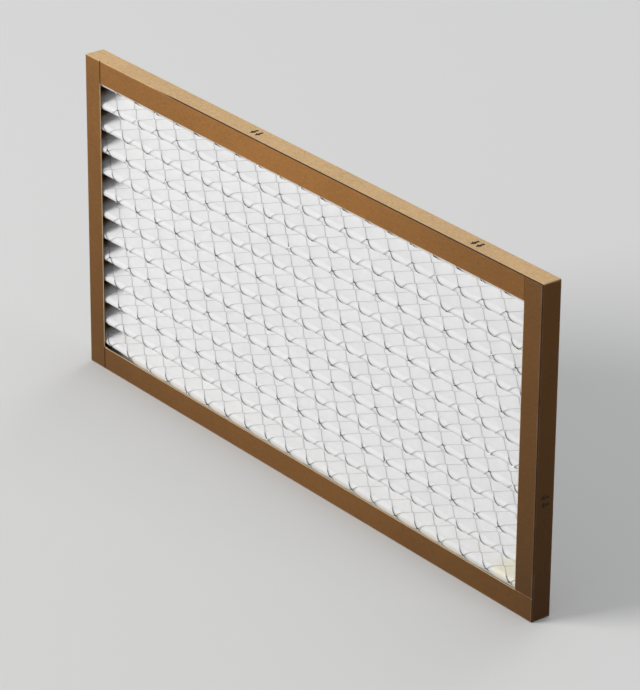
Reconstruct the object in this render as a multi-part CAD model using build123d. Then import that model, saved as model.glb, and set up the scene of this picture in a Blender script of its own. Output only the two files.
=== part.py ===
"""Disposable pleated panel air filter, nominal 12 x 24 x 1 inch.

A sheet of non-woven media, backed by expanded metal, is folded into radial pleats and glued into a
frame folded from one strip of paperboard. Units are millimetres. The filter stands on one long edge:
X runs along its length, Y through its depth with the mesh side at -Y, and Z up. The origin is the
middle of the bottom edge.
"""

from build123d import *

import math
import os

os.makedirs("parts", exist_ok=True)

# Frame
LENGTH = 596.9
HEIGHT = 292.1
DEPTH = 19.05
BOARD = 0.6
FLANGE = 21.0
CORNER_FOLD_RADIUS = 1.2
EDGE_FOLD_RADIUS = 0.8
LAP_TUCK = 3.0
LOOSE_LAP_GAP = 0.7
TIGHT_LAP_GAP = 0.3
JOINT_TAB_LENGTH = 30.0
JOINT_GAPE = 0.9

# Pleat pack
MEDIA = 1.1
FOLD_RADIUS = 3.1
PLEAT_PITCH = 20.4
FIRST_TIP_HEIGHT = 5.4
FRONT_TIPS = 14
FRONT_FACE = -7.8
REAR_FACE = 8.2

# Expanded metal
LONG_WAY = 28.35
SHORT_WAY = 17.45
STRAND_WIDTH = 0.8
STRAND_HEIGHT = 0.4
LAMINATE_GAP = 0.05
MESH_EDGE_MARGIN = 6.0
PHASE_TIP = 6
RISING_PHASE = 25.5
FALLING_PHASE = 2.6

# Glue
END_GLUE = 1.2
BEAD_WIDTH = 5.5

INNER_LENGTH = LENGTH - 2 * BOARD
INNER_HEIGHT = HEIGHT - 2 * BOARD
INNER_DEPTH = DEPTH - 2 * BOARD
LAP_FACE = INNER_DEPTH / 2 - BOARD
PACK_LENGTH = INNER_LENGTH - 2 * END_GLUE

# The folds' centres, and the slope of the legs that are tangent to two of them.
TIP_CENTRE = FRONT_FACE + MEDIA / 2 + FOLD_RADIUS
VALLEY_CENTRE = REAR_FACE - MEDIA / 2 - FOLD_RADIUS
CENTRE_RUN = VALLEY_CENTRE - TIP_CENTRE
LEG_SLOPE = math.atan2(PLEAT_PITCH / 2, CENTRE_RUN) - math.asin(
    2 * FOLD_RADIUS / math.hypot(CENTRE_RUN, PLEAT_PITCH / 2)
)
LEG_LENGTH = math.sqrt(CENTRE_RUN**2 + (PLEAT_PITCH / 2) ** 2 - (2 * FOLD_RADIUS) ** 2)
FOLD_TURN = math.pi - 2 * LEG_SLOPE


def tip_height(index):
    """Height of a front fold's centre; the first one is hidden behind the bottom flange."""
    return FIRST_TIP_HEIGHT + index * PLEAT_PITCH


def block(x_range, y_range, z_range):
    """A box between two values on each axis."""
    ranges = (x_range, y_range, z_range)
    size = [high - low for low, high in ranges]
    middle = [(high + low) / 2 for low, high in ranges]
    return Pos(*middle) * Box(*size)


def folded_tray():
    """Four walls and eight flanges with rounded folds, before the corners are lapped."""
    body = Pos(0, 0, HEIGHT / 2) * Box(LENGTH, DEPTH, HEIGHT)
    body = fillet(body.edges().filter_by(Axis.Y), CORNER_FOLD_RADIUS)
    face_edges = body.faces().sort_by(Axis.Y)[0].edges() + body.faces().sort_by(Axis.Y)[-1].edges()
    body = fillet(face_edges, EDGE_FOLD_RADIUS)
    body -= Pos(0, 0, HEIGHT / 2) * Box(INNER_LENGTH, INNER_DEPTH, INNER_HEIGHT)
    window = Box(LENGTH - 2 * FLANGE, DEPTH + 2, HEIGHT - 2 * FLANGE)
    return body - Pos(0, 0, HEIGHT / 2) * window


def corner_lap(side, at_top, upright_on_top, gap):
    """What one corner adds and loses on the mesh side: (tucked layer, slit beside the upper layer).

    side is -1 at the left end and 1 at the right. The flange beneath dives under the other one, which
    ends in a cut edge with a narrow slit beside it.
    """
    x_wall = side * INNER_LENGTH / 2
    x_window = side * (LENGTH / 2 - FLANGE)
    z_wall = HEIGHT - BOARD if at_top else BOARD
    z_window = HEIGHT - FLANGE if at_top else FLANGE
    up = 1 if at_top else -1
    x_slit, z_slit = x_window, z_window
    x_tuck, z_tuck = x_window, z_window
    if upright_on_top:
        x_slit = x_window - side * gap
        x_tuck = x_window - side * LAP_TUCK
        z_outside = z_window + up * (FLANGE + 1)
        slit_x, slit_z = sorted((x_window, x_slit)), sorted((z_window - up, z_outside))
    else:
        z_slit = z_window - up * gap
        z_tuck = z_window - up * LAP_TUCK
        x_outside = x_window + side * (FLANGE + 1)
        slit_x, slit_z = sorted((x_window - side, x_outside)), sorted((z_window, z_slit))
    inner_face = -INNER_DEPTH / 2
    layer = block(sorted((x_wall, x_tuck)), (inner_face, -LAP_FACE), sorted((z_wall, z_tuck)))
    slit = block(slit_x, (-DEPTH / 2 - 1, inner_face), slit_z)
    return layer, slit


def frame():
    """One strip of board: U channel on all four sides, lapped corners, joint at the top right."""
    body = folded_tray()
    corners = (
        (-1, True, True, LOOSE_LAP_GAP),
        (-1, False, True, LOOSE_LAP_GAP),
        (1, True, True, TIGHT_LAP_GAP),
        (1, False, False, TIGHT_LAP_GAP),
    )
    for corner in corners:
        layer, slit = corner_lap(*corner)
        body = body - slit - mirror(slit, Plane.XZ)
        body = body + layer + mirror(layer, Plane.XZ)
    return body + joint_tab() - joint_gap()


def joint_tab():
    """The end of the strip, folded over the right wall and glued under the top wall."""
    right = INNER_LENGTH / 2
    under_wall = (HEIGHT - 2 * BOARD, HEIGHT - BOARD)
    return block((right - JOINT_TAB_LENGTH, right), (-LAP_FACE, LAP_FACE), under_wall)


def joint_gap():
    """The wedge of air between the top wall's cut end and the fold it lies on, open to the rear."""
    with BuildSketch(Plane.YZ) as wedge:
        with BuildLine():
            Polyline(
                (-INNER_DEPTH / 2, HEIGHT - BOARD),
                (DEPTH, HEIGHT - BOARD),
                (DEPTH, HEIGHT - BOARD - JOINT_GAPE),
                close=True,
            )
        make_face()
    cut = extrude(wedge.sketch, LENGTH)
    return cut & block((INNER_LENGTH / 2, LENGTH), (-DEPTH, DEPTH), (HEIGHT / 2, HEIGHT))


def pleated_media():
    """The whole folded sheet: legs tangent to round folds, first leg flat on the bottom wall."""
    overrun = FOLD_RADIUS / math.sin(LEG_SLOPE)
    points = []
    for index in range(FRONT_TIPS):
        points.append((TIP_CENTRE - overrun, tip_height(index)))
        points.append((VALLEY_CENTRE + overrun, tip_height(index + 0.5)))
    # The first leg lies level, so its fold turns further than the others.
    level = FIRST_TIP_HEIGHT - FOLD_RADIUS
    points[0] = (TIP_CENTRE - FOLD_RADIUS / math.tan(LEG_SLOPE / 2), level)
    points.insert(0, (VALLEY_CENTRE, level))
    # The last leg ends just behind the top flange.
    last_y, last_z = points[-1]
    end_y = FRONT_FACE + MEDIA
    points.append((end_y, last_z + (last_y - end_y) * math.tan(LEG_SLOPE)))
    middle = FilletPolyline(*points, radius=FOLD_RADIUS)
    outline = Wire(middle.edges()).offset_2d(MEDIA / 2, kind=Kind.TANGENT)
    section = Plane.YZ * Face(outline)
    return extrude(section, PACK_LENGTH / 2, both=True)


def mesh_creases():
    """Creases of the expanded metal from the top down: (y, z, outward y, outward z, sheet length).

    The metal takes each fold in two creases. At a tip they stand off the round media, so that the
    facets only touch it, and in a valley they sit on it and the facet between them bridges the fold.
    """
    creases = []
    travelled = 0.0
    for index in range(2 * FRONT_TIPS - 2, -1, -1):
        height = tip_height(index / 2)
        clearance = MEDIA / 2 + LAMINATE_GAP
        if index % 2 == 0:
            centre, facing, bearing = TIP_CENTRE, -1, FOLD_TURN / 4
            reach = (FOLD_RADIUS + clearance) / math.cos(FOLD_TURN / 4)
        else:
            centre, facing, bearing = VALLEY_CENTRE, 1, FOLD_TURN / 2
            reach = FOLD_RADIUS - clearance
        for upper in (1, -1):
            y = centre + facing * reach * math.cos(bearing)
            z = height + upper * reach * math.sin(bearing)
            out_z = -facing * upper * math.sin(FOLD_TURN / 4)
            if creases:
                travelled += math.dist((y, z), creases[-1][:2])
            creases.append((y, z, -math.cos(FOLD_TURN / 4), out_z, travelled))
    return creases


def strand(creases, position_at, lean):
    """One straight line of strands: a three-sided bar that follows the folded media.

    position_at(sheet length) gives the strand's X at a crease. The bar's top edge leans by lean, to
    one side on the pleats' upper legs and to the other on their lower legs, because that keeps each
    side of the bar flat from one crease to the next.
    """
    rise = STRAND_HEIGHT / math.cos(FOLD_TURN / 4)
    sections = []
    for place, (y, z, out_y, out_z, length) in enumerate(creases):
        x = position_at(length)
        on_upper_leg = place % 4 in (0, 3)
        base = [Vector(x + side * STRAND_WIDTH / 2, y, z) for side in (-1, 1)]
        top = Vector(x - lean if on_upper_leg else x + lean, y + rise * out_y, z + rise * out_z)
        sections.append((*base, top))
    sections = trimmed(sections)
    if len(sections) < 2:
        return None
    faces = [Face(Wire.make_polygon(end)) for end in (sections[0], sections[-1])]
    for near, far in zip(sections, sections[1:]):
        for a, b in ((0, 1), (1, 2), (2, 0)):
            faces.append(Face(Wire.make_polygon((near[a], near[b], far[b], far[a]))))
    return Solid(Shell(faces))


def trimmed(sections):
    """The part of a bar that lies between the sheet's two cut ends."""
    limit = PACK_LENGTH / 2 - MESH_EDGE_MARGIN
    inside = [all(abs(corner.X) < limit for corner in section) for section in sections]
    if not any(inside):
        return []
    first = inside.index(True)
    last = len(inside) - 1 - inside[::-1].index(True)
    before = cut_ends(sections[first], sections[first - 1], limit) if first > 0 else []
    after = cut_ends(sections[last], sections[last + 1], limit) if last + 1 < len(sections) else []
    return before + sections[first : last + 1] + after


def cut_ends(inner, outer, limit):
    """The section where a facet meets the plane of the cut, unless the cut falls on a crease."""
    if any(abs(corner.X) < limit for corner in outer):
        return []
    plane_x = math.copysign(limit, outer[0].X)
    return [
        tuple(near + (far - near) * ((plane_x - near.X) / (far.X - near.X)) for near, far in zip(inner, outer))
    ]


def support_mesh():
    """Expanded metal on the media's front: two families of strands that cross at their bonds."""
    creases = mesh_creases()
    upper_crease = 4 * (FRONT_TIPS - 1 - PHASE_TIP)
    apex = (creases[upper_crease][4] + creases[upper_crease + 1][4]) / 2
    drift = LONG_WAY / SHORT_WAY
    lean = STRAND_HEIGHT * math.tan(FOLD_TURN / 4) * drift
    reach = math.ceil((creases[-1][4] * drift + LENGTH) / LONG_WAY)
    strands = []
    for direction, phase in ((1, RISING_PHASE), (-1, FALLING_PHASE)):
        for index in range(-reach, reach):
            start = phase + index * LONG_WAY

            def position_at(length, start=start, direction=direction):
                return start + direction * drift * (length - apex)

            strands.append(strand(creases, position_at, direction * lean))
    return Compound([bar for bar in strands if bar is not None])


def end_glue(side):
    """The layer of glue that seals the pleats' cut ends to one end wall."""
    wall = side * INNER_LENGTH / 2
    x_range = sorted((wall, wall - side * END_GLUE))
    return block(x_range, (-LAP_FACE, LAP_FACE), (BOARD, HEIGHT - 2 * BOARD))


def bottom_glue():
    """The layer of glue under the first leg of the pack."""
    leg_face = FIRST_TIP_HEIGHT - FOLD_RADIUS - MEDIA / 2
    half = PACK_LENGTH / 2
    return block((-half, half), (TIP_CENTRE, VALLEY_CENTRE), (BOARD, leg_face))


def top_glue():
    """The bead that fills the angle between the last leg of the pack and the top wall."""
    ceiling = HEIGHT - BOARD
    leg_offset = (FOLD_RADIUS + MEDIA / 2) / math.cos(LEG_SLOPE)
    valley_height = tip_height(FRONT_TIPS - 0.5)

    def leg_top(y):
        return valley_height + leg_offset + (VALLEY_CENTRE - y) * math.tan(LEG_SLOPE)

    front = FRONT_FACE + MEDIA
    rear = front + BEAD_WIDTH
    with BuildSketch(Plane.YZ) as section:
        with BuildLine():
            Polyline(
                (front, ceiling),
                (front, leg_top(front)),
                (rear, leg_top(rear)),
                (rear - MEDIA, ceiling),
                close=True,
            )
        make_face()
    bead = extrude(section.sketch, PACK_LENGTH / 2, both=True)
    return bead - joint_tab()


nodes = {
    "frame": frame(),
    "pleated_media": pleated_media(),
    "support_mesh": support_mesh(),
    "glue_left": end_glue(-1),
    "glue_right": end_glue(1),
    "glue_bottom": bottom_glue(),
    "glue_top": top_glue(),
}

for name, shape in nodes.items():
    export_step(shape, f"parts/{name}.step", write_pcurves=False)
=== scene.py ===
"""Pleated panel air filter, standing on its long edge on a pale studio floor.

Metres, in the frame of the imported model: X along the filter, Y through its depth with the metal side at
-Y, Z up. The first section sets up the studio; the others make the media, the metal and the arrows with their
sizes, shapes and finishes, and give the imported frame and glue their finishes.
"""

import math

import bpy
from mathutils import Matrix, Vector


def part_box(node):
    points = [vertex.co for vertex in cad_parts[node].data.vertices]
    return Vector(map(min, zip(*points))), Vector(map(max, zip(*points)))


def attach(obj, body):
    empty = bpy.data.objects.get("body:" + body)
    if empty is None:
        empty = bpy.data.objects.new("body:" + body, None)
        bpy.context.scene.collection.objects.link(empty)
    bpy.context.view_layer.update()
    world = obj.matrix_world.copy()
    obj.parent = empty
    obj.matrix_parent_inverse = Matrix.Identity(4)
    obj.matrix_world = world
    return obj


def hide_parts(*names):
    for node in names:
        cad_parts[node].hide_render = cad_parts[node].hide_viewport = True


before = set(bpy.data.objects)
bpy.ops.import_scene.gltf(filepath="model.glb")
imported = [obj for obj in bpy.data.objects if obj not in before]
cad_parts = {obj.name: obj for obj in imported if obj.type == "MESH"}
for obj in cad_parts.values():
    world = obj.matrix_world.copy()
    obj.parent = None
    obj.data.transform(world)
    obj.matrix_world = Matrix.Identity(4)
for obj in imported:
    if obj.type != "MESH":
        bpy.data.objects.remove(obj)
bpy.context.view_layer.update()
scene = bpy.context.scene
scene.view_settings.view_transform = "Standard"
MM = 0.001


# The studio: a pale floor and a large soft lamp in front of the filter, to its left and a little above it.
# Two weak ones light only the top wall and the right end wall, a third lights the back, and there is weak
# fill all round.

CAMERA_AZIMUTH = math.radians(51.57)
CAMERA_ELEVATION = math.radians(25.58)
CAMERA_ROLL = math.radians(0.454)
CAMERA_PLACE = Vector((2.3356, -1.8397, 1.5490))
LENS = 208.5

FLOOR_SIZE = 14.0
FLOOR_COLOR = (0.72, 0.72, 0.71, 1)
FLOOR_BOUNCE_COLOR = (0.24, 0.235, 0.23, 1)
FILL_COLOR = (0.95, 0.97, 1.0, 1)
FILL_STRENGTH = 0.44

LAMP_TARGET = Vector((0.0, 0.0, 0.15))
# Each lamp's direction from there, its distance, its size, its power and its colour.
LAMPS = {
    "key": ((-0.45, -0.80, 0.38), 6.0, 3.2, 346.0, (1.0, 0.99, 0.975)),
    "side": ((0.93, 0.2, 0.3), 3.5, 1.5, 12.0, (1.0, 0.98, 0.96)),
    "top": ((-0.1, 0.3, 1.0), 3.0, 1.5, 6.0, (1.0, 0.99, 0.98)),
    "back": ((-0.35, 0.90, 0.30), 5.0, 2.5, 50.0, (1.0, 1.0, 1.0)),
}


def aim(thing, target):
    """Turns a lamp so that it shines at a point."""
    thing.rotation_euler = (target - thing.location).to_track_quat("-Z", "Y").to_euler()


def soft_lamp(name, direction, distance, size, power, color):
    """A square softbox that shines at the filter's middle."""
    data = bpy.data.lights.new(name, "AREA")
    data.size = size
    data.energy = power
    data.color = color
    lamp = bpy.data.objects.new(name, data)
    lamp.location = LAMP_TARGET + Vector(direction).normalized() * distance
    aim(lamp, LAMP_TARGET)
    scene.collection.objects.link(lamp)


def camera():
    """The studio camera, a long lens a little above the filter and to its right."""
    sin_a, cos_a = math.sin(CAMERA_AZIMUTH), math.cos(CAMERA_AZIMUTH)
    sin_e, cos_e = math.sin(CAMERA_ELEVATION), math.cos(CAMERA_ELEVATION)
    forward = Vector((-sin_a * cos_e, cos_a * cos_e, -sin_e))
    right = Vector((cos_a, sin_a, 0))
    up = right.cross(forward)
    turn = Matrix((right, up, -forward)).transposed() @ Matrix.Rotation(CAMERA_ROLL, 3, "Z")
    data = bpy.data.cameras.new("camera")
    data.lens = LENS
    data.clip_end = 50
    cam = bpy.data.objects.new("camera", data)
    cam.matrix_world = Matrix.Translation(CAMERA_PLACE) @ turn.to_4x4()
    scene.collection.objects.link(cam)
    scene.camera = cam


def shader_node(tree, kind, inputs=None, **settings):
    """Adds a node, sets its properties, and links or fills its inputs."""
    made = tree.nodes.new(kind)
    for key, value in settings.items():
        setattr(made, key, value)
    for key, value in (inputs or {}).items():
        if isinstance(value, bpy.types.NodeSocket):
            tree.links.new(value, made.inputs[key])
        else:
            made.inputs[key].default_value = value
    return made


def calc(tree, operation, *terms, clamp=False):
    """One step of arithmetic on sockets or numbers; returns the result's socket."""
    made = tree.nodes.new("ShaderNodeMath")
    made.operation = operation
    made.use_clamp = clamp
    for socket, term in zip(made.inputs, terms):
        if isinstance(term, bpy.types.NodeSocket):
            tree.links.new(term, socket)
        else:
            socket.default_value = term
    return made.outputs[0]


def blank_material(name):
    """A material with a Principled BSDF and its output; returns (material, tree, shader)."""
    material = bpy.data.materials.new(name)
    material.use_nodes = True
    tree = material.node_tree
    return material, tree, tree.nodes["Principled BSDF"]


def floor():
    """The sheet of pale paper that the filter stands on."""
    half = FLOOR_SIZE / 2
    mesh = bpy.data.meshes.new("floor")
    corners = [(-half, -half, 0), (half, -half, 0), (half, half, 0), (-half, half, 0)]
    mesh.from_pydata(corners, [], [(0, 1, 2, 3)])
    paper = bpy.data.objects.new("floor", mesh)
    scene.collection.objects.link(paper)
    material, tree, shader = blank_material("floor_paper")
    # What is seen is pale paper, and what it throws back on the filter is as weak as a dark floor's.
    rays = shader_node(tree, "ShaderNodeLightPath").outputs
    seen = calc(tree, "MAXIMUM", rays["Is Camera Ray"], rays["Is Glossy Ray"])
    seen = calc(tree, "MAXIMUM", seen, rays["Is Transmission Ray"])
    tone = shader_node(tree, "ShaderNodeMix", data_type="RGBA")
    tone.inputs[6].default_value = FLOOR_BOUNCE_COLOR
    tone.inputs[7].default_value = FLOOR_COLOR
    tree.links.new(seen, tone.inputs[0])
    tree.links.new(tone.outputs[2], shader.inputs["Base Color"])
    shader.inputs["Roughness"].default_value = 0.9
    mesh.materials.append(material)


world = bpy.data.worlds.new("studio")
world.use_nodes = True
world.node_tree.nodes["Background"].inputs["Color"].default_value = FILL_COLOR
world.node_tree.nodes["Background"].inputs["Strength"].default_value = FILL_STRENGTH
scene.world = world
camera()
floor()
for lamp_name, lamp_facts in LAMPS.items():
    soft_lamp(lamp_name, *lamp_facts)


# The frame: one strip of uncoated kraft board, creased into a U channel and folded round all four sides,
# with the flanges lapped at the corners and the strip's end glued under the top wall at the right.

BOARD_TOP_PAINTED_LIGHT = (0.64, 0.425, 0.215, 1)
BOARD_SIDE = (0.176, 0.078, 0.020, 1)
BOARD_SPECK = (0.08, 0.035, 0.012, 1)
CREASE_SHADE_COLOR = (0.035, 0.018, 0.010, 1)
CRACK_WIDTH = 0.75 * MM
SLIT_OFFSET = 0.4 * MM
SLIT_WIDTH = 0.8 * MM
CRACK_START = -200.0 * MM
FOLD_INSET = 0.2 * MM
BOARD_CORE = (0.72, 0.55, 0.34, 1)
CORE_WIDTH = 1.2 * MM
WEAR_AND_HIGHLIGHT_WIDTH = 1.6 * MM
WEAR_AND_HIGHLIGHT_SHARE = 0.18
FLANGE_WIDTH = 21.0 * MM
CUT_INSET = 0.7 * MM
BOTTOM_FALLOFF = 0.74
TOP_FALLOFF = 1.36
LEFT_FALLOFF = 1.08
RIGHT_FALLOFF = 0.86
RAIL_MIDDLE_SHEEN = 1.28
RAIL_END_SHEEN = 0.92
LEFT_UPRIGHT_SHEEN = 0.84
RIGHT_UPRIGHT_SHEEN = 0.68


def group_tree(name, kind, inputs, outputs):
    """An empty node group with named sockets; returns (tree, input node, output node)."""
    tree = bpy.data.node_groups.new(name, kind)
    for label, socket_kind, value in inputs:
        socket = tree.interface.new_socket(label, in_out="INPUT", socket_type=socket_kind)
        if value is not None:
            socket.default_value = value
    for label, socket_kind in outputs:
        tree.interface.new_socket(label, in_out="OUTPUT", socket_type=socket_kind)
    return tree, tree.nodes.new("NodeGroupInput"), tree.nodes.new("NodeGroupOutput")


def fibre_group():
    """Shared effect: the mottle, long fibres and specks of a fibrous sheet, as masks and a height."""
    tree, given, out = group_tree(
        "fibre",
        "ShaderNodeTree",
        [
            ("Vector", "NodeSocketVector", None),
            ("Mottle Scale", "NodeSocketFloat", 90.0),
            ("Fibre Scale", "NodeSocketFloat", 900.0),
            ("Fibre Stretch", "NodeSocketVector", (0.25, 1.0, 1.0)),
            ("Speck Scale", "NodeSocketFloat", 420.0),
            ("Speck Share", "NodeSocketFloat", 0.2),
        ],
        [
            ("Mottle", "NodeSocketFloat"),
            ("Fibre", "NodeSocketFloat"),
            ("Speck", "NodeSocketFloat"),
            ("Height", "NodeSocketFloat"),
        ],
    )
    vector = given.outputs["Vector"]
    stretched = shader_node(
        tree,
        "ShaderNodeVectorMath",
        {0: vector, 1: given.outputs["Fibre Stretch"]},
        operation="MULTIPLY",
    ).outputs[0]
    mottle = shader_node(
        tree,
        "ShaderNodeTexNoise",
        {"Vector": vector, "Scale": given.outputs["Mottle Scale"], "Detail": 4.0, "Roughness": 0.6},
    ).outputs[0]
    fibre = shader_node(
        tree,
        "ShaderNodeTexNoise",
        {
            "Vector": stretched,
            "Scale": given.outputs["Fibre Scale"],
            "Detail": 3.0,
            "Roughness": 0.65,
            "Distortion": 1.2,
        },
    ).outputs[0]
    cells = shader_node(
        tree,
        "ShaderNodeTexVoronoi",
        {"Vector": vector, "Scale": given.outputs["Speck Scale"], "Randomness": 1.0},
    )
    picked = shader_node(tree, "ShaderNodeSeparateColor", {0: cells.outputs["Color"]}).outputs[0]
    is_speck = calc(tree, "LESS_THAN", picked, given.outputs["Speck Share"])
    core = shader_node(
        tree,
        "ShaderNodeMapRange",
        {"Value": cells.outputs["Distance"], "From Min": 0.1, "From Max": 0.32, "To Min": 1.0, "To Max": 0.0},
    ).outputs[0]
    speck = calc(tree, "MULTIPLY", is_speck, core)
    height = calc(tree, "MULTIPLY_ADD", mottle, 0.5, fibre)
    for label, socket in (("Mottle", mottle), ("Fibre", fibre), ("Speck", speck), ("Height", height)):
        tree.links.new(socket, out.inputs[label])
    return tree


FIBRE = fibre_group()


def worn_edge_and_highlight_group():
    """Shared effect: a mask that is 1 along the edges of a box and breaks up as it fades."""
    tree, given, out = group_tree(
        "worn_edge_and_highlight",
        "ShaderNodeTree",
        [
            ("Vector", "NodeSocketVector", None),
            ("Centre", "NodeSocketVector", (0.0, 0.0, 0.0)),
            ("Half Size", "NodeSocketVector", (1.0, 1.0, 1.0)),
            ("Width", "NodeSocketFloat", 0.0012),
            ("Break Up Scale", "NodeSocketFloat", 90.0),
        ],
        [("Edge", "NodeSocketFloat")],
    )
    get = given.outputs
    offset = shader_node(
        tree, "ShaderNodeVectorMath", {0: get["Vector"], 1: get["Centre"]}, operation="SUBTRACT"
    ).outputs[0]
    apart = shader_node(tree, "ShaderNodeVectorMath", {0: offset}, operation="ABSOLUTE").outputs[0]
    depth = shader_node(
        tree, "ShaderNodeVectorMath", {0: get["Half Size"], 1: apart}, operation="SUBTRACT"
    ).outputs[0]
    x, y, z = shader_node(tree, "ShaderNodeSeparateXYZ", {0: depth}).outputs
    # A point is as near to an edge as to the second nearest of the box's faces.
    nearer, farther = calc(tree, "MINIMUM", x, y), calc(tree, "MAXIMUM", x, y)
    second = calc(tree, "MAXIMUM", nearer, calc(tree, "MINIMUM", farther, z))
    noise = shader_node(
        tree, "ShaderNodeTexNoise", {"Vector": get["Vector"], "Scale": get["Break Up Scale"], "Detail": 5.0}
    ).outputs[0]
    reach = calc(tree, "MULTIPLY", get["Width"], calc(tree, "MULTIPLY", noise, 2.0))
    edge = calc(tree, "SUBTRACT", 1.0, calc(tree, "DIVIDE", second, reach), clamp=True)
    tree.links.new(edge, out.inputs["Edge"])
    return tree


WORN_EDGE_AND_HIGHLIGHT = worn_edge_and_highlight_group()


def ramp(tree, value, low, high, start=0.0, end=1.0):
    """A clamped straight ramp from start at low to end at high."""
    terms = {"Value": value, "From Min": low, "From Max": high, "To Min": start, "To Max": end}
    return shader_node(tree, "ShaderNodeMapRange", terms).outputs[0]


def mix_color(tree, factor, low, high, blend="MIX"):
    """Blends two colours, given as sockets or values."""
    made = tree.nodes.new("ShaderNodeMix")
    made.data_type = "RGBA"
    made.blend_type = blend
    for index, term in ((0, factor), (6, low), (7, high)):
        if isinstance(term, bpy.types.NodeSocket):
            tree.links.new(term, made.inputs[index])
        else:
            made.inputs[index].default_value = term
    return made.outputs[2]


def near_line(tree, a, a_line, b, b_line, width):
    """A soft-edged mask around a straight line that is square to the axes of a and b."""
    from_a, from_b = calc(tree, "SUBTRACT", a, a_line), calc(tree, "SUBTRACT", b, b_line)
    squares = calc(tree, "MULTIPLY_ADD", from_a, from_a, calc(tree, "MULTIPLY", from_b, from_b))
    return ramp(tree, calc(tree, "SQRT", squares), 0.6 * width, width, 1.0, 0.0)


def grey_color(tree, strength):
    """A grey colour from one value."""
    return shader_node(tree, "ShaderNodeCombineColor", {0: strength, 1: strength, 2: strength}).outputs[0]


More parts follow.
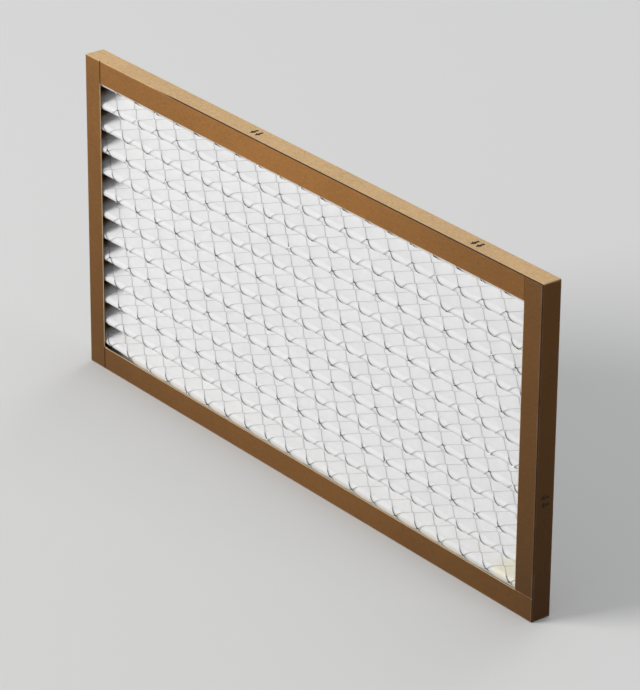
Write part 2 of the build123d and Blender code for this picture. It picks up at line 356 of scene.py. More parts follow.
def kraft_board():
    """Uncoated kraft: painted lighter on the up-facing top wall and painted darker low down and to the right,
    as the light falls; pale where it is cut.
    """
    low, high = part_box("frame")
    centre, half = (Vector(low) + Vector(high)) / 2, (Vector(high) - Vector(low)) / 2
    material, tree, shader = blank_material("kraft_board")
    coordinates = shader_node(tree, "ShaderNodeTexCoord").outputs["Object"]
    x, y, z = shader_node(tree, "ShaderNodeSeparateXYZ", {0: coordinates}).outputs
    fibre = shader_node(
        tree,
        "ShaderNodeGroup",
        {"Vector": coordinates, "Mottle Scale": 420.0, "Fibre Scale": 900.0, "Fibre Stretch": (0.3, 1.0, 1.0),
         "Speck Scale": 380.0, "Speck Share": 0.14},
        node_tree=FIBRE,
    ).outputs
    clouds = shader_node(
        tree, "ShaderNodeTexNoise", {"Vector": coordinates, "Scale": 16.0, "Detail": 3.0, "Roughness": 0.6}
    ).outputs[0]
    normal = shader_node(tree, "ShaderNodeNewGeometry").outputs["Normal"]
    facing_up = shader_node(tree, "ShaderNodeSeparateXYZ", {0: normal}).outputs["Z"]
    # Painted light: the board is painted lighter at its top left and darker at its lower right, as the lamps
    # fall off, and the uprights are painted darker than the long rails, with the rails lighter in their
    # middle, as a painted sheen.
    painted_falloff = ramp(tree, z, low[2], high[2], BOTTOM_FALLOFF, TOP_FALLOFF)
    painted_falloff = calc(tree, "MULTIPLY", painted_falloff, ramp(tree, x, low[0], high[0], LEFT_FALLOFF, RIGHT_FALLOFF))
    apart_x = calc(tree, "ABSOLUTE", x)
    is_end = calc(tree, "GREATER_THAN", apart_x, half[0] - FLANGE_WIDTH)
    is_right = calc(tree, "GREATER_THAN", x, 0.0)
    under_lap = calc(tree, "MULTIPLY", calc(tree, "LESS_THAN", z, FLANGE_WIDTH), is_right)
    under_lap = calc(tree, "MULTIPLY", under_lap, calc(tree, "LESS_THAN", apart_x, half[0] - CUT_INSET))
    is_upright = calc(tree, "MULTIPLY", is_end, calc(tree, "SUBTRACT", 1.0, under_lap))
    rail_sheen = ramp(tree, apart_x, 50 * MM, half[0], RAIL_MIDDLE_SHEEN, RAIL_END_SHEEN)
    upright_sheen = ramp(tree, x, low[0], high[0], LEFT_UPRIGHT_SHEEN, RIGHT_UPRIGHT_SHEEN)
    tone = shader_node(tree, "ShaderNodeMix", {0: is_upright, 2: rail_sheen, 3: upright_sheen}).outputs[0]
    painted_falloff = calc(tree, "MULTIPLY", painted_falloff, tone)
    side = mix_color(tree, 1.0, BOARD_SIDE, grey_color(tree, painted_falloff), "MULTIPLY")
    # Painted light: faces that look up get the paler, lighter top colour, as the lamps above light the top
    # wall.
    base = mix_color(tree, ramp(tree, facing_up, 0.35, 0.9), side, BOARD_TOP_PAINTED_LIGHT)
    shade = ramp(tree, fibre["Mottle"], 0.3, 0.7, 0.90, 1.10)
    shade = calc(tree, "MULTIPLY", shade, ramp(tree, fibre["Fibre"], 0.3, 0.7, 0.85, 1.15))
    shade = calc(tree, "MULTIPLY", shade, ramp(tree, clouds, 0.35, 0.65, 0.95, 1.04))
    color = mix_color(tree, 1.0, base, grey_color(tree, shade), "MULTIPLY")
    color = mix_color(tree, calc(tree, "MULTIPLY", fibre["Speck"], 0.40), color, BOARD_SPECK)
    # Pale along the box's edges: partly worn board, partly a painted highlight on the folds.
    worn_and_highlit = shader_node(
        tree,
        "ShaderNodeGroup",
        {"Vector": coordinates, "Centre": centre, "Half Size": half, "Width": WEAR_AND_HIGHLIGHT_WIDTH},
        node_tree=WORN_EDGE_AND_HIGHLIGHT,
    ).outputs["Edge"]
    # The window's cut edge shows the pale core, with a ragged rim of torn liner beside it.
    beyond_x = calc(tree, "SUBTRACT", apart_x, half[0] - FLANGE_WIDTH)
    from_middle = calc(tree, "ABSOLUTE", calc(tree, "SUBTRACT", z, centre[2]))
    beyond_z = calc(tree, "SUBTRACT", from_middle, half[2] - FLANGE_WIDTH)
    from_cut = calc(tree, "MAXIMUM", beyond_x, beyond_z)
    ragged = calc(tree, "MULTIPLY", fibre["Fibre"], CORE_WIDTH)
    core = calc(tree, "SUBTRACT", 1.0, calc(tree, "DIVIDE", from_cut, ragged), clamp=True)
    pale = calc(tree, "MAXIMUM", calc(tree, "MULTIPLY", worn_and_highlit, WEAR_AND_HIGHLIGHT_SHARE), calc(tree, "MULTIPLY", core, 0.85))
    color = mix_color(tree, pale, color, BOARD_CORE)
    # Two creases have cracked open: along the front of the top wall, towards the joint, and down the front of
    # the right end wall. They and the slits beside the two left laps are painted dark: painted shade in the
    # openings, with some dust.
    front_fold = low[1] + FOLD_INSET
    top_crack = near_line(tree, y, front_fold, z, high[2] - FOLD_INSET, CRACK_WIDTH)
    top_crack = calc(tree, "MULTIPLY", top_crack, ramp(tree, x, CRACK_START, CRACK_START + 30 * MM))
    end_crack = near_line(tree, y, front_fold, x, high[0] - FOLD_INSET, 0.9 * CRACK_WIDTH)
    crease_shade = calc(tree, "MAXIMUM", top_crack, calc(tree, "MULTIPLY", end_crack, 0.95))
    slit = near_line(tree, y, front_fold, x, low[0] + FLANGE_WIDTH + SLIT_OFFSET, SLIT_WIDTH)
    slit = calc(tree, "MULTIPLY", slit, calc(tree, "GREATER_THAN", from_middle, half[2] - FLANGE_WIDTH))
    crease_shade = calc(tree, "MAXIMUM", crease_shade, slit)
    color = mix_color(tree, crease_shade, color, CREASE_SHADE_COLOR)
    tree.links.new(color, shader.inputs["Base Color"])
    tree.links.new(ramp(tree, fibre["Mottle"], 0.3, 0.7, 0.68, 0.86), shader.inputs["Roughness"])
    shader.inputs["Specular IOR Level"].default_value = 0.2
    bump = shader_node(
        tree, "ShaderNodeBump", {"Height": fibre["Height"], "Strength": 0.30, "Distance": 0.12 * MM}
    )
    tree.links.new(bump.outputs[0], shader.inputs["Normal"])
    return material


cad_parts["frame"].data.materials.clear()
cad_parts["frame"].data.materials.append(kraft_board())


# The media: one sheet of white non-woven mat, folded to and fro into rounded pleats. The folds wander a
# little, because the mat is limp and only the metal on its front holds the shape.

MEDIA_THICKNESS = 1.1 * MM
FOLD_RADIUS = 3.1 * MM
PLEAT_PITCH = 20.4 * MM
FIRST_TIP_HEIGHT = 5.4 * MM
FRONT_TIPS = 14
FRONT_FACE = -7.8 * MM
REAR_FACE = 8.2 * MM
PACK_LENGTH = 593.3 * MM
FOLD_WANDER = 2.6 * MM
WANDER_DEPTH = 0.8 * MM
WANDER_SCALE = (7.0, 5.0, 30.0)
SETTLE = 1.5 * MM
HANG_HEIGHT = 19.5 * MM
HANG_REACH = 7.0 * MM
SETTLE_HEIGHT = 25.0 * MM
SETTLE_START = -280.0 * MM
SETTLE_END = -222.0 * MM
SHEET_ROWS = 446
SHEET_COLUMNS = 104
MAT_WHITE = (0.83, 0.83, 0.83, 1)
MAT_SHADE = (0.79, 0.79, 0.795, 1)
NOSE_TONE = 0.85
NOSE_DEPTH = 4.5 * MM
MAT_GLOW = 5.0 * MM
TINGE_COLOR = (0.60, 0.55, 0.44, 1)
TINGE_HEIGHT = 23.4 * MM
TINGE_RAGGED = 4.0 * MM
SOAK_AND_SHADE_COLOR = (0.40, 0.29, 0.18, 1)
SOAK_AND_SHADE_WIDTH = 10.0 * MM
SOAK_AND_SHADE_RAGGED = 6.0 * MM
MAT_FLECK = (0.55, 0.54, 0.53, 1)
STAIN_COLOR = (0.80, 0.74, 0.52, 1)
STAIN_PLACE = (262.0 * MM, 0.0, 29.0 * MM)
STAIN_SHAPE = (1 / (21.0 * MM), 1 / (40.0 * MM), 1 / (9.0 * MM))

TIP_CENTRE = FRONT_FACE + MEDIA_THICKNESS / 2 + FOLD_RADIUS
VALLEY_CENTRE = REAR_FACE - MEDIA_THICKNESS / 2 - FOLD_RADIUS
CENTRE_RUN = VALLEY_CENTRE - TIP_CENTRE
LEG_SLOPE = math.atan2(PLEAT_PITCH / 2, CENTRE_RUN) - math.asin(
    2 * FOLD_RADIUS / math.hypot(CENTRE_RUN, PLEAT_PITCH / 2)
)
LEG_LENGTH = math.sqrt(CENTRE_RUN**2 + (PLEAT_PITCH / 2) ** 2 - (2 * FOLD_RADIUS) ** 2)
HALF_TURN = math.pi / 2 - LEG_SLOPE
FOLD_SPACING = 2 * FOLD_RADIUS * HALF_TURN + LEG_LENGTH


def fold_group():
    """Folds a flat sheet: takes a place on the flat sheet and gives the same place on the pleats.

    Along is the distance up the flat sheet from the first tip. Each fold owns the sheet half way to the
    next one. Nearer than half the fold's arc a point turns about the fold's centre, and the rest of the
    way it runs straight along the leg.
    """
    tree, given, out = group_tree(
        "fold_sheet",
        "GeometryNodeTree",
        [
            ("Across", "NodeSocketFloat", 0.0),
            ("Along", "NodeSocketFloat", 0.0),
            ("Stand-off", "NodeSocketFloat", 0.0),
            ("Fold Radius", "NodeSocketFloat", FOLD_RADIUS),
            ("Fold Spacing", "NodeSocketFloat", FOLD_SPACING),
            ("Half Turn", "NodeSocketFloat", HALF_TURN),
            ("Tip Centre", "NodeSocketFloat", TIP_CENTRE),
            ("Valley Centre", "NodeSocketFloat", VALLEY_CENTRE),
            ("First Height", "NodeSocketFloat", FIRST_TIP_HEIGHT),
            ("Pitch", "NodeSocketFloat", PLEAT_PITCH),
            ("Wander", "NodeSocketFloat", FOLD_WANDER),
            ("Settle", "NodeSocketFloat", SETTLE),
            ("Settle Height", "NodeSocketFloat", SETTLE_HEIGHT),
            ("Settle Start", "NodeSocketFloat", SETTLE_START),
            ("Settle End", "NodeSocketFloat", SETTLE_END),
            ("Hang Height", "NodeSocketFloat", HANG_HEIGHT),
            ("Hang Reach", "NodeSocketFloat", HANG_REACH),
        ],
        [("Position", "NodeSocketVector"), ("Nose", "NodeSocketFloat")],
    )
    get = given.outputs
    fold = calc(tree, "ROUND", calc(tree, "DIVIDE", get["Along"], get["Fold Spacing"]))
    is_valley = calc(tree, "FLOORED_MODULO", fold, 2.0)
    facing = calc(tree, "MULTIPLY_ADD", is_valley, 2.0, -1.0)
    past = calc(tree, "SUBTRACT", get["Along"], calc(tree, "MULTIPLY", fold, get["Fold Spacing"]))
    turn = calc(tree, "DIVIDE", past, get["Fold Radius"])
    turn = calc(tree, "MAXIMUM", turn, calc(tree, "MULTIPLY", get["Half Turn"], -1.0))
    turn = calc(tree, "MINIMUM", turn, get["Half Turn"])
    straight = calc(tree, "SUBTRACT", past, calc(tree, "MULTIPLY", turn, get["Fold Radius"]))
    reach = calc(tree, "SUBTRACT", get["Fold Radius"], calc(tree, "MULTIPLY", facing, get["Stand-off"]))
    sine, cosine = calc(tree, "SINE", turn), calc(tree, "COSINE", turn)
    outward = calc(
        tree, "SUBTRACT", calc(tree, "MULTIPLY", reach, cosine), calc(tree, "MULTIPLY", straight, sine)
    )
    upward = calc(tree, "ADD", calc(tree, "MULTIPLY", reach, sine), calc(tree, "MULTIPLY", straight, cosine))
    span = calc(tree, "SUBTRACT", get["Valley Centre"], get["Tip Centre"])
    centre_y = calc(tree, "MULTIPLY_ADD", is_valley, span, get["Tip Centre"])
    centre_z = calc(tree, "MULTIPLY_ADD", fold, calc(tree, "DIVIDE", get["Pitch"], 2.0), get["First Height"])
    y = calc(tree, "MULTIPLY_ADD", facing, outward, centre_y)
    z = calc(tree, "ADD", centre_z, upward)
    # The wander is a slow swell along each fold and from one fold to the next.
    where = shader_node(tree, "ShaderNodeCombineXYZ", {0: get["Across"], 1: y, 2: z}).outputs[0]
    drift = shader_node(
        tree,
        "ShaderNodeVectorMath",
        {0: where, 1: WANDER_SCALE},
        operation="MULTIPLY",
    ).outputs[0]
    swell = shader_node(tree, "ShaderNodeTexNoise", {"Vector": drift, "Scale": 1.0, "Detail": 1.5}).outputs[0]
    swell = calc(tree, "SUBTRACT", swell, 0.5)
    z = calc(tree, "ADD", z, calc(tree, "MULTIPLY", swell, get["Wander"]))
    y = calc(tree, "ADD", y, calc(tree, "MULTIPLY", calc(tree, "ABSOLUTE", swell), WANDER_DEPTH))
    # The lowest fold that shows has settled onto the bottom flange, except near its left end, and the
    # sheet below it hangs straight down behind the flange instead of turning back.
    away = calc(tree, "ABSOLUTE", calc(tree, "SUBTRACT", z, get["Settle Height"]))
    near = calc(tree, "SUBTRACT", 1.0, calc(tree, "DIVIDE", away, get["Pitch"]), clamp=True)
    settled = shader_node(
        tree,
        "ShaderNodeMapRange",
        {"Value": get["Across"], "From Min": get["Settle Start"], "From Max": get["Settle End"]},
        interpolation_type="SMOOTHSTEP",
    ).outputs[0]
    drop = calc(tree, "MULTIPLY", calc(tree, "MULTIPLY", near, settled), get["Settle"])
    z = calc(tree, "SUBTRACT", z, drop)
    away = calc(tree, "ABSOLUTE", calc(tree, "SUBTRACT", z, get["Hang Height"]))
    near = calc(tree, "SUBTRACT", 1.0, calc(tree, "DIVIDE", away, get["Hang Reach"]), clamp=True)
    front = calc(
        tree, "SUBTRACT", calc(tree, "SUBTRACT", get["Tip Centre"], get["Fold Radius"]), get["Stand-off"]
    )
    hanging = calc(tree, "MULTIPLY", near, settled)
    hanging = calc(tree, "MULTIPLY", hanging, calc(tree, "SUBTRACT", 1.0, is_valley))
    y = calc(tree, "MULTIPLY_ADD", calc(tree, "SUBTRACT", front, y), hanging, y)
    folded = shader_node(tree, "ShaderNodeCombineXYZ", {0: get["Across"], 1: y, 2: z}).outputs[0]
    tree.links.new(folded, out.inputs["Position"])
    nose = calc(tree, "MULTIPLY", cosine, calc(tree, "SUBTRACT", 1.0, is_valley))
    tree.links.new(nose, out.inputs["Nose"])
    return tree


FOLD = fold_group()


def grown(name, tree, inputs):
    """Runs a Geometry Nodes tree on an empty mesh and keeps the result as a plain mesh object."""
    seed = bpy.data.objects.new(name + "_seed", bpy.data.meshes.new(name + "_seed"))
    scene.collection.objects.link(seed)
    modifier = seed.modifiers.new("grow", "NODES")
    modifier.node_group = tree
    identifiers = {
        item.name: item.identifier
        for item in tree.interface.items_tree
        if item.item_type == "SOCKET" and item.in_out == "INPUT"
    }
    for label, value in inputs.items():
        modifier[identifiers[label]] = value
    evaluated = seed.evaluated_get(bpy.context.evaluated_depsgraph_get())
    mesh = bpy.data.meshes.new_from_object(evaluated)
    seed.modifiers.remove(modifier)
    bpy.data.objects.remove(seed)
    mesh.name = name
    piece = bpy.data.objects.new(name, mesh)
    scene.collection.objects.link(piece)
    return piece


def media_tree(material):
    """A thin flat slab, cut into rows and columns, and folded."""
    tree, given, out = group_tree(
        "pleated_sheet",
        "GeometryNodeTree",
        [
            ("Width", "NodeSocketFloat", PACK_LENGTH),
            ("Sheet Length", "NodeSocketFloat", 1.0),
            ("Start", "NodeSocketFloat", 0.0),
            ("Thickness", "NodeSocketFloat", MEDIA_THICKNESS),
            ("Rows", "NodeSocketInt", SHEET_ROWS),
            ("Columns", "NodeSocketInt", SHEET_COLUMNS),
            ("Crowding", "NodeSocketFloat", 0.5),
            ("Fold Spacing", "NodeSocketFloat", FOLD_SPACING),
        ],
        [("Geometry", "NodeSocketGeometry")],
    )
    get = given.outputs
    size = shader_node(
        tree, "ShaderNodeCombineXYZ", {0: get["Width"], 1: get["Sheet Length"], 2: get["Thickness"]}
    ).outputs[0]
    slab = shader_node(
        tree,
        "GeometryNodeMeshCube",
        {"Size": size, "Vertices X": get["Columns"], "Vertices Y": get["Rows"], "Vertices Z": 2},
    )
    place = shader_node(
        tree, "ShaderNodeSeparateXYZ", {0: shader_node(tree, "GeometryNodeInputPosition").outputs[0]}
    ).outputs
    along = calc(tree, "ADD", place[1], calc(tree, "MULTIPLY_ADD", get["Sheet Length"], 0.5, get["Start"]))
    # Rows crowd together at the folds, where the sheet is curved.
    wave = calc(tree, "DIVIDE", get["Fold Spacing"], 2 * math.pi)
    phase = calc(tree, "DIVIDE", along, wave)
    crowded = calc(tree, "MULTIPLY", calc(tree, "MULTIPLY", calc(tree, "SINE", phase), wave), get["Crowding"])
    along = calc(tree, "SUBTRACT", along, crowded)
    folded = shader_node(
        tree,
        "GeometryNodeGroup",
        {"Across": place[0], "Along": along, "Stand-off": place[2], "Fold Spacing": get["Fold Spacing"]},
        node_tree=FOLD,
    )
    moved = shader_node(
        tree,
        "GeometryNodeSetPosition",
        {"Geometry": slab.outputs[0], "Position": folded.outputs["Position"]},
    )
    smooth = shader_node(tree, "GeometryNodeSetShadeSmooth", {0: moved.outputs[0]})
    whole = shader_node(tree, "GeometryNodeRealizeInstances", {0: smooth.outputs[0]})
    dressed = shader_node(tree, "GeometryNodeSetMaterial", {0: whole.outputs[0], "Material": material})
    tree.links.new(dressed.outputs[0], out.inputs[0])
    return tree


def media_material():
    """White non-woven mat: matte, faintly cloudy and felted, with glue soaked in at its lower right."""
    material, tree, shader = blank_material("non_woven_mat")
    coordinates = shader_node(tree, "ShaderNodeTexCoord").outputs["Object"]
    fibre = shader_node(
        tree,
        "ShaderNodeGroup",
        {"Vector": coordinates, "Mottle Scale": 60.0, "Fibre Scale": 900.0, "Fibre Stretch": (0.4, 1.0, 1.0),
         "Speck Scale": 300.0, "Speck Share": 0.02},
        node_tree=FIBRE,
    ).outputs
    white = mix_color(tree, ramp(tree, fibre["Mottle"], 0.3, 0.7), MAT_SHADE, MAT_WHITE)
    white = mix_color(tree, calc(tree, "MULTIPLY", fibre["Speck"], 0.25), white, MAT_FLECK)
    # The noses face the key lamp, so they are toned down here. This evens out the light and isn't dirt.
    x, y, z = shader_node(tree, "ShaderNodeSeparateXYZ", {0: coordinates}).outputs
    tone = ramp(tree, y, FRONT_FACE + 0.5 * MM, FRONT_FACE + NOSE_DEPTH, NOSE_TONE, 1.0)
    white = mix_color(tree, 1.0, white, grey_color(tree, tone), "MULTIPLY")
    # The stain is a blot with a ragged rim, where surplus glue from the corner soaked into the mat.
    away = shader_node(
        tree,
        "ShaderNodeVectorMath",
        {0: coordinates, 1: STAIN_PLACE},
        operation="SUBTRACT",
    ).outputs[0]
    scaled = shader_node(
        tree, "ShaderNodeVectorMath", {0: away, 1: STAIN_SHAPE}, operation="MULTIPLY"
    ).outputs[0]
    distance = shader_node(tree, "ShaderNodeVectorMath", {0: scaled}, operation="LENGTH").outputs["Value"]
    ragged = calc(tree, "MULTIPLY_ADD", fibre["Mottle"], 0.9, distance)
    stain = ramp(tree, ragged, 0.8, 1.5, 0.7, 0.0)
    color = mix_color(tree, stain, white, STAIN_COLOR)
    # The lowest fold that shows is pressed on the bottom flange, and the mat is tinged warm grey below
    # TINGE_HEIGHT.
    risen = calc(tree, "MULTIPLY_ADD", fibre["Mottle"], -TINGE_RAGGED, z)
    tinged = ramp(tree, risen, TINGE_HEIGHT - 1.5 * MM, TINGE_HEIGHT, 0.55, 0.0)
    color = mix_color(tree, tinged, color, TINGE_COLOR)
    # The mat's two ends are painted brown: partly the glue of the end walls drawn up into them, partly
    # painted shade where the ends lie behind the flanges.
    inland = calc(tree, "SUBTRACT", PACK_LENGTH / 2, calc(tree, "ABSOLUTE", x))
    inland = calc(tree, "MULTIPLY_ADD", fibre["Mottle"], SOAK_AND_SHADE_RAGGED, inland)
    soaked_and_shaded = ramp(tree, inland, SOAK_AND_SHADE_WIDTH, 1.5 * SOAK_AND_SHADE_WIDTH, 1.0, 0.0)
    color = mix_color(tree, soaked_and_shaded, color, SOAK_AND_SHADE_COLOR)
    tree.links.new(color, shader.inputs["Base Color"])
    shader.inputs["Roughness"].default_value = 0.95
    shader.inputs["Specular IOR Level"].default_value = 0.15
    # Light soaks through the thin mat and softens the shade under each fold.
    shader.inputs["Subsurface Weight"].default_value = 0.8
    shader.inputs["Subsurface Radius"].default_value = (1.0, 1.0, 1.0)
    shader.inputs["Subsurface Scale"].default_value = MAT_GLOW
    bump = shader_node(
        tree, "ShaderNodeBump", {"Height": fibre["Height"], "Strength": 0.30, "Distance": 0.20 * MM}
    )
    tree.links.new(bump.outputs[0], shader.inputs["Normal"])
    return material


sheet_start = -FOLD_RADIUS * HALF_TURN - 1.0 * MM
sheet_length = (2 * FRONT_TIPS - 1) * FOLD_SPACING + LEG_LENGTH - 2.0 * MM
media = grown(
    "pleated_sheet",
    media_tree(media_material()),
    {"Sheet Length": sheet_length, "Start": sheet_start},
)
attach(media, "root")
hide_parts("pleated_media")


# The expanded metal: slit and stretched galvanised foil, laminated to the front of the flat mat before
# it was pleated. Strands run between short bonds: thin, pale and half sunk where they lie on the mat, and
# standing off it, twisted and dark, round the noses. The pale and the dark are partly glue over bare foil,
# partly a painted reflection: bright light on the flats and dark surroundings on the noses.

LONG_WAY = 28.35 * MM
METAL_MARGIN = 6.0 * MM
FLAT_GIRTH = 0.22 * MM
NOSE_GIRTH = 0.36 * MM
RISING_GIRTH = 1.0
FALLING_GIRTH = 0.8
BOND_GIRTH = 1.6
BOND_LENGTH = 1.8 * MM
NOSE_LIFT = 0.45 * MM
NOSE_STARTS = 0.45
NOSE_IS_FULL = 0.85
METAL_STAND_OFF = MEDIA_THICKNESS / 2 + 0.05 * MM
STRAND_STEPS = 7
FOIL_DULL_AND_LIT = (0.50, 0.50, 0.51, 1)
FOIL_BARE_AND_DARK_REFLECTION = (0.10, 0.10, 0.108, 1)
FOIL_SHADE_SPOT = (0.02, 0.02, 0.023, 1)
FOIL_PAINTED_GLINT = (0.90, 0.90, 0.90, 1)
PHASE_FOLD = 12
PHASE_BOND_ACROSS = 14.05 * MM
PHASE_BOND_ALONG = 7.05 * MM
SHORT_WAY = 2 * FOLD_SPACING / 2.21


def metal_tree(material):
    """Bonds in a staggered lattice on the flat sheet, joined by strands, then folded with the sheet."""
    tree, given, out = group_tree(
        "expanded_metal",
        "GeometryNodeTree",
        [
            ("Long Way", "NodeSocketFloat", LONG_WAY),
            ("Short Way", "NodeSocketFloat", SHORT_WAY),
            ("Bond Length", "NodeSocketFloat", BOND_LENGTH),
            ("Flat Girth", "NodeSocketFloat", FLAT_GIRTH),
            ("Nose Girth", "NodeSocketFloat", NOSE_GIRTH),
            ("Stand-off", "NodeSocketFloat", METAL_STAND_OFF),
            ("Columns", "NodeSocketInt", 24),
            ("Rows", "NodeSocketInt", 34),
            ("Bond Across", "NodeSocketFloat", PHASE_BOND_ACROSS),
            ("Bond Along", "NodeSocketFloat", 0.0),
            ("Half Width", "NodeSocketFloat", PACK_LENGTH / 2 - METAL_MARGIN),
            ("Lowest", "NodeSocketFloat", 0.0),
            ("Highest", "NodeSocketFloat", 1.0),
            ("Nose Lift", "NodeSocketFloat", NOSE_LIFT),
        ],
        [("Geometry", "NodeSocketGeometry")],
    )
    get = given.outputs
    half_long = calc(tree, "DIVIDE", get["Long Way"], 2.0)
    half_short = calc(tree, "DIVIDE", get["Short Way"], 2.0)
    half_bond = calc(tree, "DIVIDE", get["Bond Length"], 2.0)
    run = calc(tree, "SUBTRACT", half_long, get["Bond Length"])
    cell = shader_node(tree, "GeometryNodeJoinGeometry")
    for side, girth in ((1.0, FALLING_GIRTH), (-1.0, RISING_GIRTH)):
        start = shader_node(tree, "ShaderNodeCombineXYZ", {0: calc(tree, "MULTIPLY", half_bond, side)})
        step = shader_node(
            tree,
            "ShaderNodeCombineXYZ",
            {
                0: calc(tree, "DIVIDE", calc(tree, "MULTIPLY", run, side), STRAND_STEPS),
                1: calc(tree, "DIVIDE", half_short, STRAND_STEPS),
            },
        )
        strand = shader_node(
            tree,
            "GeometryNodeMeshLine",
            {"Count": STRAND_STEPS + 1, "Start Location": start.outputs[0], "Offset": step.outputs[0]},
            mode="OFFSET",
        )
        sized = shader_node(
            tree,
            "GeometryNodeStoreNamedAttribute",
            {"Geometry": strand.outputs[0], "Name": "girth", "Value": girth},
            data_type="FLOAT",
            domain="POINT",
        )
        tree.links.new(sized.outputs[0], cell.inputs[0])
    start = shader_node(tree, "ShaderNodeCombineXYZ", {0: calc(tree, "MULTIPLY", half_bond, -1.3)})
    step = shader_node(tree, "ShaderNodeCombineXYZ", {0: calc(tree, "MULTIPLY", half_bond, 0.65)})
    bond = shader_node(
        tree,
        "GeometryNodeMeshLine",
        {"Count": 5, "Start Location": start.outputs[0], "Offset": step.outputs[0]},
        mode="OFFSET",
    )
    sized = shader_node(
        tree,
        "GeometryNodeStoreNamedAttribute",
        {"Geometry": bond.outputs[0], "Name": "girth", "Value": BOND_GIRTH},
        data_type="FLOAT",
        domain="POINT",
    )
    tree.links.new(sized.outputs[0], cell.inputs[0])
    columns = calc(tree, "MULTIPLY", get["Long Way"], calc(tree, "SUBTRACT", get["Columns"], 1.0))
    rows = calc(tree, "MULTIPLY", get["Short Way"], calc(tree, "SUBTRACT", get["Rows"], 1.0))
    lattice = shader_node(
        tree,
        "GeometryNodeMeshGrid",
        {"Size X": columns, "Size Y": rows, "Vertices X": get["Columns"], "Vertices Y": get["Rows"]},
    ).outputs[0]
    stagger = shader_node(tree, "ShaderNodeCombineXYZ", {0: half_long, 1: half_short}).outputs[0]
    between = shader_node(tree, "GeometryNodeTransform", {"Geometry": lattice, "Translation": stagger})
    bonds = shader_node(tree, "GeometryNodeJoinGeometry")
    tree.links.new(lattice, bonds.inputs[0])
    tree.links.new(between.outputs[0], bonds.inputs[0])
    # The lattice's own middle is moved to the bond that its place on the sheet is known by.
    middle = shader_node(
        tree,
        "ShaderNodeCombineXYZ",
        {0: calc(tree, "ADD", get["Bond Across"], half_long), 1: get["Bond Along"]},
    ).outputs[0]
    placed = shader_node(tree, "GeometryNodeTransform", {"Geometry": bonds.outputs[0], "Translation": middle})
    cells = shader_node(
        tree, "GeometryNodeInstanceOnPoints", {"Points": placed.outputs[0], "Instance": cell.outputs[0]}
    )
    flat = shader_node(tree, "GeometryNodeRealizeInstances", {0: cells.outputs[0]}).outputs[0]
    place = shader_node(
        tree, "ShaderNodeSeparateXYZ", {0: shader_node(tree, "GeometryNodeInputPosition").outputs[0]}
    ).outputs
    beyond = calc(tree, "GREATER_THAN", calc(tree, "ABSOLUTE", place[0]), get["Half Width"])
    below = calc(tree, "LESS_THAN", place[1], get["Lowest"])
    above = calc(tree, "GREATER_THAN", place[1], get["Highest"])
    outside = calc(tree, "MAXIMUM", beyond, calc(tree, "MAXIMUM", below, above))
    cut = shader_node(
        tree, "GeometryNodeDeleteGeometry", {"Geometry": flat, "Selection": outside}, domain="POINT"
    ).outputs[0]
    lying = shader_node(
        tree,
        "GeometryNodeGroup",
        {"Across": place[0], "Along": place[1], "Stand-off": 0.0},
        node_tree=FOLD,
    )
    on_nose = ramp(tree, lying.outputs["Nose"], NOSE_STARTS, NOSE_IS_FULL)
    lift = calc(tree, "MULTIPLY", on_nose, get["Nose Lift"])
    folded = shader_node(
        tree,
        "GeometryNodeGroup",
        {"Across": place[0], "Along": place[1], "Stand-off": calc(tree, "ADD", get["Stand-off"], lift)},
        node_tree=FOLD,
    )
    noted = shader_node(
        tree,
        "GeometryNodeStoreNamedAttribute",
        {"Geometry": cut, "Name": "nose", "Value": on_nose},
        data_type="FLOAT",
        domain="POINT",
    ).outputs[0]
    moved = shader_node(
        tree, "GeometryNodeSetPosition", {"Geometry": noted, "Position": folded.outputs["Position"]}
    ).outputs[0]
    wires = shader_node(tree, "GeometryNodeMeshToCurve", {0: moved}).outputs[0]
    girth = shader_node(tree, "GeometryNodeInputNamedAttribute", {"Name": "girth"}, data_type="FLOAT")
    nose = shader_node(tree, "GeometryNodeInputNamedAttribute", {"Name": "nose"}, data_type="FLOAT")
    thicker = calc(tree, "SUBTRACT", get["Nose Girth"], get["Flat Girth"])
    strand_radius = calc(tree, "MULTIPLY_ADD", nose.outputs[0], thicker, get["Flat Girth"])
    radius = calc(tree, "MULTIPLY", girth.outputs[0], strand_radius)
    profile = shader_node(
        tree, "GeometryNodeCurvePrimitiveCircle", {"Resolution": 4, "Radius": 1.0}, mode="RADIUS"
    ).outputs[0]
    solid = shader_node(
        tree,
        "GeometryNodeCurveToMesh",
        {"Curve": wires, "Profile Curve": profile, "Scale": radius, "Fill Caps": True},
    ).outputs[0]
    smooth = shader_node(tree, "GeometryNodeSetShadeSmooth", {0: solid}).outputs[0]
    whole = shader_node(tree, "GeometryNodeRealizeInstances", {0: smooth}).outputs[0]
    dressed = shader_node(tree, "GeometryNodeSetMaterial", {0: whole, "Material": material})
    tree.links.new(dressed.outputs[0], out.inputs[0])
    return tree


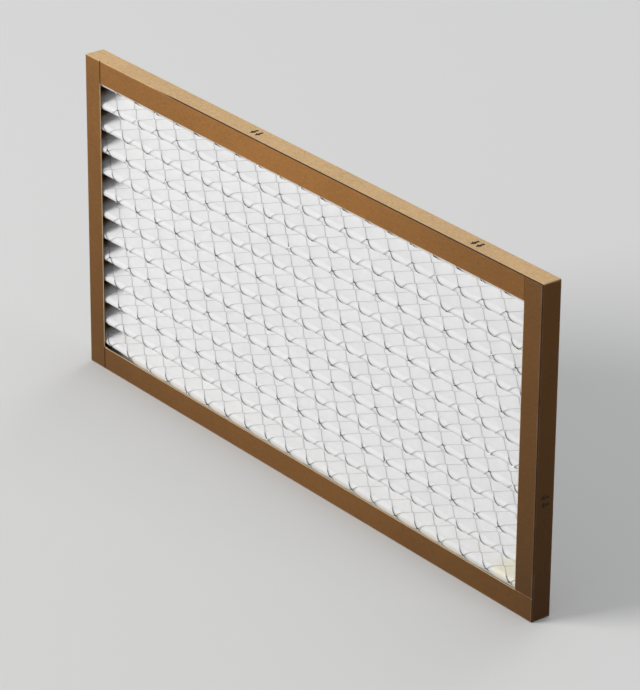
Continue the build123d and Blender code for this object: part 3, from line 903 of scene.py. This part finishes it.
def metal_material():
    """Galvanised foil: dull and pale with fluff and glue on the flats, bare and dark where it bends, both
    partly a painted reflection, with painted shade and glints on the bonds.
    """
    material, tree, shader = blank_material("expanded_foil")
    coordinates = shader_node(tree, "ShaderNodeTexCoord").outputs["Object"]
    nose = shader_node(tree, "ShaderNodeAttribute", attribute_name="nose").outputs["Fac"]
    girth = shader_node(tree, "ShaderNodeAttribute", attribute_name="girth").outputs["Fac"]
    tarnish = shader_node(
        tree, "ShaderNodeTexNoise", {"Vector": coordinates, "Scale": 260.0, "Detail": 3.0}
    ).outputs[0]
    # Pale on the flats and dark round the noses: partly glue over bare foil, partly a painted reflection of
    # bright light above and of dark surroundings.
    slim = ramp(tree, girth, FALLING_GIRTH, RISING_GIRTH, 0.25, 1.0)
    bare_and_dark_reflection = calc(tree, "MULTIPLY", ramp(tree, nose, 0.35, 1.0), slim)
    bare_and_dark_reflection = calc(tree, "MULTIPLY", bare_and_dark_reflection, ramp(tree, tarnish, 0.3, 0.6, 0.75, 1.0))
    color = mix_color(tree, bare_and_dark_reflection, FOIL_DULL_AND_LIT, FOIL_BARE_AND_DARK_REFLECTION)
    # The bonds on the noses are twisted on edge and painted: most as dark spots of painted shade, the rest as
    # painted glints.
    at_bond = ramp(tree, girth, 1.2 * RISING_GIRTH, BOND_GIRTH)
    at_bond = calc(tree, "MULTIPLY", at_bond, ramp(tree, nose, 0.1, 0.4))
    glint_noise = shader_node(tree, "ShaderNodeTexNoise", {"Vector": coordinates, "Scale": 140.0}).outputs[0]
    painted_spot = mix_color(tree, ramp(tree, glint_noise, 0.56, 0.60), FOIL_SHADE_SPOT, FOIL_PAINTED_GLINT)
    color = mix_color(tree, at_bond, color, painted_spot)
    tree.links.new(color, shader.inputs["Base Color"])
    tree.links.new(ramp(tree, bare_and_dark_reflection, 0.0, 1.0, 0.1, 0.5), shader.inputs["Metallic"])
    tree.links.new(ramp(tree, tarnish, 0.3, 0.7, 0.35, 0.6), shader.inputs["Roughness"])
    return material


phase_along = PHASE_FOLD * FOLD_SPACING + PHASE_BOND_ALONG
metal = grown(
    "expanded_metal",
    metal_tree(metal_material()),
    {
        "Bond Along": phase_along,
        "Lowest": 0.0,
        "Highest": (2 * FRONT_TIPS - 2) * FOLD_SPACING + FOLD_RADIUS * HALF_TURN,
    },
)
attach(metal, "root")
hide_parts("support_mesh")


# The glue: hot adhesive poured on the inner walls before the pack went in. It holds the cut ends and the
# outer legs, and on the two end walls it has run down and pooled on each leg; above the pools the walls are
# painted board-brown, partly the board showing through a thin film and partly painted shade under the leg
# above.

GLUE_DARK = (0.74, 0.62, 0.38, 1)
GLUE_PALE = (0.86, 0.80, 0.62, 1)
GLUE_FILM_AND_SHADE = (0.15, 0.085, 0.04, 1)


def glue_material(name, pooled_and_shaded):
    """Dried adhesive, cream and slightly glossy; where it is pooled, each groove is painted brown under the
    leg above, partly a thin film and partly painted shade.
    """
    material, tree, shader = blank_material(name)
    coordinates = shader_node(tree, "ShaderNodeTexCoord").outputs["Object"]
    lumps = shader_node(
        tree, "ShaderNodeTexNoise", {"Vector": coordinates, "Scale": 160.0, "Detail": 3.0}
    ).outputs[0]
    color = mix_color(tree, lumps, GLUE_DARK, GLUE_PALE)
    if pooled_and_shaded:
        # Height above the leg that the groove stands on, as a share of the pitch. The groove's floor
        # rises from its mouth to its back.
        y, z = shader_node(tree, "ShaderNodeSeparateXYZ", {0: coordinates}).outputs[1:]
        rise = calc(tree, "MULTIPLY", calc(tree, "SUBTRACT", y, TIP_CENTRE), math.tan(LEG_SLOPE))
        above = calc(tree, "SUBTRACT", calc(tree, "SUBTRACT", z, rise), FIRST_TIP_HEIGHT + FOLD_RADIUS)
        share = calc(tree, "FLOORED_MODULO", calc(tree, "DIVIDE", above, PLEAT_PITCH), 1.0)
        uneven = calc(tree, "MULTIPLY_ADD", lumps, -0.25, share)
        # Painted shade: brown under the leg above each groove, with cream glue towards the leg below.
        color = mix_color(tree, ramp(tree, uneven, 0.02, 0.22), color, GLUE_FILM_AND_SHADE)
    tree.links.new(color, shader.inputs["Base Color"])
    shader.inputs["Roughness"].default_value = 0.45
    bump = shader_node(tree, "ShaderNodeBump", {"Height": lumps, "Strength": 0.5, "Distance": 0.4 * MM})
    tree.links.new(bump.outputs[0], shader.inputs["Normal"])
    return material


bead_glue, wall_glue = glue_material("bead_glue", False), glue_material("wall_glue", True)
layers = {"glue_left": wall_glue, "glue_right": wall_glue, "glue_bottom": bead_glue, "glue_top": bead_glue}
for layer, finish in layers.items():
    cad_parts[layer].data.materials.clear()
    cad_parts[layer].data.materials.append(finish)


# The airflow marks: pairs of plain arrows printed on the top wall and on the right end wall in dark ink,
# which is thin and worn. They point to the metal side, where the air leaves.

ARROW_LENGTH = 9.0 * MM
ARROW_WIDTH = 5.4 * MM
SHAFT_WIDTH = 2.4 * MM
HEAD_LENGTH = 4.4 * MM
ARROW_SPACING = 6.4 * MM
INK_THICKNESS = 0.04 * MM
TOP_MARKS = (-69.0 * MM, 211.0 * MM)
END_MARK_HEIGHT = 105.0 * MM
INK = (0.03, 0.018, 0.012, 1)
WORN_INK = (0.12, 0.07, 0.035, 1)


def arrow_outline():
    """An arrow in its own plane: (across, forwards), with its middle at the origin."""
    tip, tail = ARROW_LENGTH / 2, -ARROW_LENGTH / 2
    neck = tip - HEAD_LENGTH
    right = [(SHAFT_WIDTH / 2, tail), (SHAFT_WIDTH / 2, neck), (ARROW_WIDTH / 2, neck), (0.0, tip)]
    left = [(-across, forwards) for across, forwards in reversed(right[:-1])]
    return right + left


def printed_arrows(name, places, material):
    """Thin raised arrows; each place is (origin, direction across, direction forwards)."""
    mesh = bpy.data.meshes.new(name)
    outline = arrow_outline()
    count = len(outline)
    corners, faces = [], []
    for origin, across, forwards in places:
        outward = across.cross(forwards)
        first = len(corners)
        for level in (-INK_THICKNESS, INK_THICKNESS):
            corners += [origin + across * u + forwards * v + outward * level for u, v in outline]
        faces.append([first + i for i in reversed(range(count))])
        faces.append([first + count + i for i in range(count)])
        for i in range(count):
            after = (i + 1) % count
            faces.append((first + i, first + after, first + count + after, first + count + i))
    mesh.from_pydata(corners, [], faces)
    mesh.materials.append(material)
    piece = bpy.data.objects.new(name, mesh)
    scene.collection.objects.link(piece)
    return piece


def ink_material():
    """Thin brown-black ink, broken where the board's fibres stand up."""
    material, tree, shader = blank_material("printing_ink")
    coordinates = shader_node(tree, "ShaderNodeTexCoord").outputs["Object"]
    fibre = shader_node(
        tree,
        "ShaderNodeGroup",
        {"Vector": coordinates, "Mottle Scale": 900.0, "Fibre Scale": 1600.0},
        node_tree=FIBRE,
    ).outputs
    color = mix_color(tree, ramp(tree, fibre["Mottle"], 0.45, 0.65), INK, WORN_INK)
    tree.links.new(color, shader.inputs["Base Color"])
    tree.links.new(ramp(tree, fibre["Fibre"], 0.3, 0.7, 0.75, 0.95), shader.inputs["Roughness"])
    shader.inputs["Specular IOR Level"].default_value = 0.1
    return material


box_low, box_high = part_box("frame")
top_z, end_x = box_high[2], box_high[0]
to_metal_side, along, up = Vector((0, -1, 0)), Vector((1, 0, 0)), Vector((0, 0, 1))
marks = []
for offset in (-ARROW_SPACING / 2, ARROW_SPACING / 2):
    marks += [(Vector((mark_x + offset, 0, top_z)), -along, to_metal_side) for mark_x in TOP_MARKS]
    marks.append((Vector((end_x, 0, END_MARK_HEIGHT + offset)), up, to_metal_side))
arrows = printed_arrows("airflow_arrows", marks, ink_material())
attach(arrows, "root")
